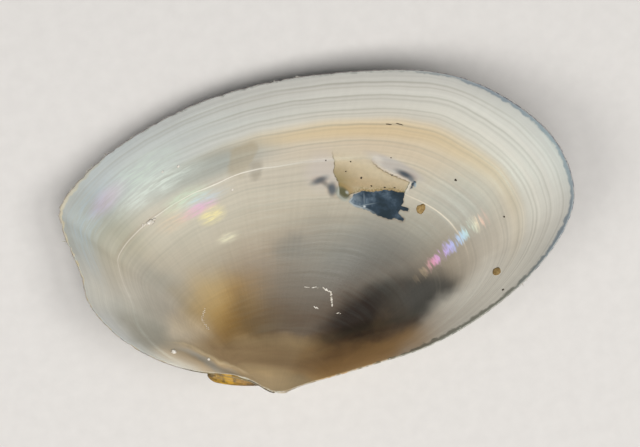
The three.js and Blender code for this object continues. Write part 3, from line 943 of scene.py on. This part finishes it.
def horny_skin():
    """Periostracum, the horny skin outside: olive to straw, glossy, worn to chalk at the umbo."""
    material, tree, shader = new_material("horny_skin", IOR=1.54, Coat_Weight=0.25, Coat_Roughness=0.25)
    places = shell_places(tree)
    ground = wire(tree, "ValToRGB", {"Fac": places["line"]}, stops=SKIN)
    for rest in GROWTH_RESTS:
        share = line_at(tree, places["line"], rest, 0.006, 0.65)
        ground = paint(tree, ground, (share, "#4c4632"))
    for spacing, length, turned, low, high in (
        (2.2, 60.0, False, 0.78, 1.2), (0.5, 20.0, False, 0.82, 1.15), (3.0, 30.0, True, 0.85, 1.14),
    ):
        lines = bars(tree, places, spacing, length, turned=turned)
        inputs = {"Value": lines, "From Min": 0.3, "From Max": 0.7, "To Min": low, "To Max": high}
        shade = wire(tree, "MapRange", inputs)
        ground = wire(tree, "VectorMath", {0: ground, 1: shade}, operation="MULTIPLY")
    inputs = {"Vector": places["plan"], "Scale": 1 / 4.0, "Detail": 5.0, "Roughness": 0.6}
    worn = wire(tree, "TexNoise", inputs, out="Fac")
    inputs = {"Value": worn, "From Min": 0.35, "From Max": 0.65, "To Min": -0.12, "To Max": 0.12}
    worn = wire(tree, "MapRange", inputs)
    worn = wire(tree, "Math", {0: places["growth"], 1: worn}, operation="ADD")
    worn = wire(tree, "MapRange", {"Value": worn, "From Min": 0.24, "From Max": 0.08, "To Max": 0.85})
    ground = paint(tree, ground, (worn, "#beb29a"))
    tree.links.new(ground, shader.inputs["Base Color"])
    rough = wire(tree, "MapRange", {"Value": worn, "To Min": 0.38, "To Max": 0.7})
    tree.links.new(rough, shader.inputs["Roughness"])
    height = bars(tree, places, 0.5, 20.0, detail=3.0)
    bump = wire(tree, "Bump", {"Height": height, "Strength": 0.8, "Distance": 0.06 * MM})
    tree.links.new(bump, shader.inputs["Normal"])
    return material


def dried_ligament():
    """Elastic horn that has dried: amber and glossy, with fibres along it, darker towards both ends."""
    material, tree, shader = new_material(
        "dried_ligament", IOR=1.55, Coat_Weight=0.1, Coat_Roughness=0.25,
    )
    plan = wire(tree, "Attribute", out="Vector", attribute_name="plan")
    inputs = {0: plan, 1: (1 / 3.0, 1 / 0.16, 1 / 0.16)}
    stretched = wire(tree, "VectorMath", inputs, operation="MULTIPLY")
    fibres = wire(tree, "TexNoise", {"Vector": stretched, "Scale": 1.0, "Detail": 4.0}, out="Fac")
    along = wire(tree, "SeparateXYZ", {"Vector": plan}, out=0)
    inputs = {"Value": along, "From Min": LIGAMENT_FROM, "From Max": LIGAMENT_TO}
    middle = wire(tree, "MapRange", inputs)
    amber = wire(tree, "ValToRGB", {"Fac": middle}, stops=AMBER)
    inputs = {"Value": fibres, "From Min": 0.3, "From Max": 0.7, "To Min": 0.45, "To Max": 1.35}
    shade = wire(tree, "MapRange", inputs)
    amber = wire(tree, "VectorMath", {0: amber, 1: shade}, operation="MULTIPLY")
    inputs = {"Vector": plan, "Scale": 1 / 0.9, "Detail": 3.0, "Roughness": 0.6}
    blotch = wire(tree, "TexNoise", inputs, out="Fac")
    inputs = {"Value": blotch, "From Min": 0.46, "From Max": 0.64, "To Max": 0.75}
    blotch = wire(tree, "MapRange", inputs)
    amber = paint(tree, amber, (blotch, "#4a3a10"))
    specks = wire(tree, "TexNoise", {"Vector": plan, "Scale": 1 / 0.22, "Detail": 1.0}, out="Fac")
    inputs = {"Value": specks, "From Min": 0.70, "From Max": 0.74, "To Max": 0.8}
    specks = wire(tree, "MapRange", inputs)
    amber = paint(tree, amber, (specks, "#d8ccb0"))
    tree.links.new(amber, shader.inputs["Base Color"])
    inputs = {"Value": fibres, "From Min": 0.3, "From Max": 0.7, "To Min": 0.42, "To Max": 0.62}
    rough = wire(tree, "MapRange", inputs)
    tree.links.new(rough, shader.inputs["Roughness"])
    bump = wire(tree, "Bump", {"Height": fibres, "Strength": 0.8, "Distance": 0.08 * MM})
    tree.links.new(bump, shader.inputs["Normal"])
    return material


def grainy(name, dark, light, grain, roughness):
    """A broken mineral surface: mottled at the size of its own grain, and dull."""
    material, tree, shader = new_material(name, IOR=1.5)
    place = wire(tree, "TexCoord", out="Object")
    inputs = {"Vector": place, "Scale": 1 / (grain * MM), "Detail": 4.0}
    mottle = wire(tree, "TexNoise", inputs, out="Fac")
    shade = wire(tree, "ValToRGB", {"Fac": mottle}, stops=[(0.35, dark), (0.65, light)])
    tree.links.new(shade, shader.inputs["Base Color"])
    inputs = {"Value": mottle, "To Min": roughness - 0.1, "To Max": roughness + 0.1}
    rough = wire(tree, "MapRange", inputs)
    tree.links.new(rough, shader.inputs["Roughness"])
    bump = wire(tree, "Bump", {"Height": mottle, "Strength": 0.6, "Distance": 0.05 * MM})
    tree.links.new(bump, shader.inputs["Normal"])
    return material


# ---- The ligament ----


def make_ligament():
    """The tapered strip of horn outside the hinge, with its fibres standing a little proud."""
    rings = []
    for share in np.linspace(0, 1, LIGAMENT_STEPS + 2)[1:-1]:
        blunt = math.sqrt(1 - (1 - min(share / LIGAMENT_BLUNT, 1)) ** 2)
        swell = blunt * (1 - 0.85 * max((share - LIGAMENT_BLUNT) / (1 - LIGAMENT_BLUNT), 0) ** 1.8)
        x = LIGAMENT_FROM + (LIGAMENT_TO - LIGAMENT_FROM) * share
        angle = np.linspace(0, 2 * math.pi, LIGAMENT_SIDES, endpoint=False)
        cords = 1 - LIGAMENT_CORD * (0.5 + 0.5 * np.cos(7 * angle + 1.5 * math.sin(5 * share)))
        rings.append(np.stack([
            np.full(LIGAMENT_SIDES, x),
            LIGAMENT_OFFSET + LIGAMENT_HALF_WIDTH * swell * cords * np.cos(angle),
            LIGAMENT_RISE + LIGAMENT_HALF_DEPTH * swell * cords * np.sin(angle),
        ], axis=1))
    plan = np.concatenate(rings)
    piece = close_rings("ligament_horn", to_world(plan), LIGAMENT_SIDES, [0] * (len(rings) - 1))
    keep_numbers(piece.data, "plan", plan)
    return piece


# ---- Small things lying on the shell ----


def surface_at(x, y):
    """The point of the inner face over a place in the plane, and the direction out of it."""
    near = np.argmin(np.hypot(INNER_FACE[:, 0] - x, INNER_FACE[:, 1] - y))
    return INNER_FACE[near], INNER_NORMALS[near]


def lumps(name, spots, rough, seed):
    """One mesh of small flat lumps: each spot is a place, a length, a width, a height and a turn."""
    work = bmesh.new()
    for i, (x, y, length, width, height, turn) in enumerate(spots):
        base, normal = surface_at(x, y)
        made = bmesh.ops.create_icosphere(work, subdivisions=2, radius=1.0)["verts"]
        stand = Vector(normal).to_track_quat("Z", "Y").to_matrix()
        stand = stand @ Matrix.Rotation(math.radians(turn), 3, "Z")
        for vertex in made:
            bulge = 1 + rough * noise.noise(vertex.co * 1.7 + Vector((seed, i, 0)))
            shape = vertex.co * Vector((length / 2, width / 2, height)) * bulge
            vertex.co = Vector(to_world(np.array(Vector(base) + stand @ shape)))
    mesh = bpy.data.meshes.new(name)
    work.to_mesh(mesh)
    work.free()
    mesh.shade_smooth()
    piece = bpy.data.objects.new(name, mesh)
    bpy.context.scene.collection.objects.link(piece)
    return piece


def crust_line(path, thickness):
    """Spots for an uneven line of crust along a path."""
    spots = []
    for (ax, ay), (bx, by) in zip(path, path[1:]):
        length = math.hypot(bx - ax, by - ay)
        turn = math.degrees(math.atan2(by - ay, bx - ax))
        count = max(2, round(length / thickness * 1.6))
        for i in range(count):
            share = (i + dice.random()) / count
            wide = thickness * dice.uniform(0.6, 1.2)
            x = ax + (bx - ax) * share + dice.uniform(-0.1, 0.1) * thickness
            y = ay + (by - ay) * share + dice.uniform(-0.1, 0.1) * thickness
            spots.append((x, y, wide * 1.6, wide, wide * 0.35, turn))
    return spots


def make_shreds():
    """Frayed shreds of skin and splinters that stand out from the edge."""
    work = bmesh.new()
    for x, y, length, width in SHREDS:
        reach = np.array([x, y]) - MIDDLE
        out = reach / np.hypot(*reach)
        side = np.array([-out[1], out[0]])
        edge = MIDDLE + out * edge_reach(x, y)
        for _ in range(3):
            foot = edge + side * dice.uniform(-1, 1) * width - out * 0.25
            lean_out = out * dice.uniform(0.3, 1.0) + side * dice.uniform(-0.9, 0.9)
            rise = dice.uniform(-0.1, 0.45)
            rings = []
            for share in (0, 0.35, 0.7, 1):
                middle = np.array([*(foot + lean_out * length * share), rise * length * share - 0.05])
                half = np.array([side[0], side[1], dice.uniform(-0.3, 0.3)])
                half = half * width * 0.35 * (1 - 0.85 * share)
                thick = np.array([0, 0, 0.045 * (1 - 0.7 * share)])
                corners = (middle + half, middle + thick, middle - half, middle - thick)
                rings.append([work.verts.new(to_world(corner)) for corner in corners])
            for near, far in zip(rings, rings[1:]):
                for k in range(4):
                    work.faces.new((near[k], near[(k + 1) % 4], far[(k + 1) % 4], far[k]))
            work.faces.new(rings[0][::-1])
            work.faces.new(rings[-1])
    bmesh.ops.recalc_face_normals(work, faces=work.faces)
    mesh = bpy.data.meshes.new("edge_shreds")
    work.to_mesh(mesh)
    work.free()
    piece = bpy.data.objects.new("edge_shreds", mesh)
    bpy.context.scene.collection.objects.link(piece)
    return piece


# ---- Putting the part together ----


def finish_piece(piece, slot, *materials, stands_for=None):
    for material in materials:
        piece.data.materials.append(material)
    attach(piece, "root")
    if stands_for:
        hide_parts(stands_for)


valve = make_valve()
finish_piece(valve, "shell", mother_of_pearl(), horny_skin(), stands_for="valve")
finish_piece(make_ligament(), "horny_ligament", dried_ligament(), stands_for="ligament")
silt = lumps("silt_grains", SILT_GRAINS, 0.3, 1)
finish_piece(silt, "shell", grainy("silt", "#83693a", "#a98f5c", 0.35, 0.8))
crusts = [spot for path, thickness in CHALK_LINES for spot in crust_line(path, thickness)]
chalk = lumps("chalk_crust", crusts + CHALK_SPOTS, 0.6, 2)
finish_piece(chalk, "shell", grainy("chalk", "#c9c3b4", "#f1eee6", 0.3, 0.75))
specks = lumps("dark_specks", DARK_SPECKS, 0.5, 3)
finish_piece(specks, "shell", grainy("peat", "#1c1610", "#4a3c28", 0.2, 0.7))
finish_piece(make_shreds(), "shell", grainy("frayed_skin", "#a9a79c", "#e2dfd4", 0.4, 0.6))


# ---- The stage ----


def make_floor():
    half = FLOOR_HALF
    mesh = bpy.data.meshes.new("floor")
    corners = [(-half, -half, 0), (half, -half, 0), (half, half, 0), (-half, half, 0)]
    mesh.from_pydata(corners, [], [(0, 1, 2, 3)])
    floor = bpy.data.objects.new("floor", mesh)
    bpy.context.scene.collection.objects.link(floor)
    material, tree, shader = new_material("matt_paper", IOR=1.5, Roughness=0.9)
    place = wire(tree, "TexCoord", out="Object")
    fibre = wire(tree, "TexNoise", {"Vector": place, "Scale": 1 / (2 * MM), "Detail": 3.0}, out="Fac")
    paper = wire(tree, "ValToRGB", {"Fac": fibre}, stops=[(0.3, "#d9d8d6"), (0.7, "#dddcda")])
    tree.links.new(paper, shader.inputs["Base Color"])
    floor.data.materials.append(material)


def softbox(name, place, size, power):
    """A square studio light that looks at the shell."""
    light = bpy.data.objects.new(name, bpy.data.lights.new(name, "AREA"))
    light.data.shape = "SQUARE"
    light.data.size = size
    light.data.energy = power
    light.data.color = colour(LAMP_WHITE)[:3]
    light.location = place
    light.rotation_euler = (-Vector(place)).to_track_quat("-Z", "Y").to_euler()
    bpy.context.scene.collection.objects.link(light)


def make_camera():
    """Looks straight into the hollow, square to the plane of the edge, with the hinge low."""
    out = TO_REST @ Vector((0, 0, 1))
    right = TO_REST @ Vector((math.cos(VIEW_TURN), math.sin(VIEW_TURN), 0))
    up = out.cross(right)
    camera = bpy.data.objects.new("camera", bpy.data.cameras.new("camera"))
    bpy.context.scene.collection.objects.link(camera)
    camera.data.lens = LENS
    camera.data.sensor_width = SENSOR
    aim = Vector(to_world(VIEW_AIM))
    place = aim + out * (VIEW_WIDTH * MM * LENS / SENSOR)
    camera.matrix_world = Matrix.Translation(place) @ Matrix((right, up, out)).transposed().to_4x4()
    bpy.context.scene.camera = camera


make_floor()
softbox("left", (-0.34, -0.06, 0.40), 0.25, 1.08)
softbox("right", (0.34, -0.10, 0.40), 0.25, 1.08)
softbox("overhead", (0.0, -0.10, 0.60), 0.40, 1.75)
make_camera()
world = bpy.data.worlds.new("room")
world.use_nodes = True
world.node_tree.nodes["Background"].inputs["Color"].default_value = colour("#e9edf2")
world.node_tree.nodes["Background"].inputs["Strength"].default_value = 0.145
bpy.context.scene.world = world
bpy.context.scene.view_settings.view_transform = "Standard"
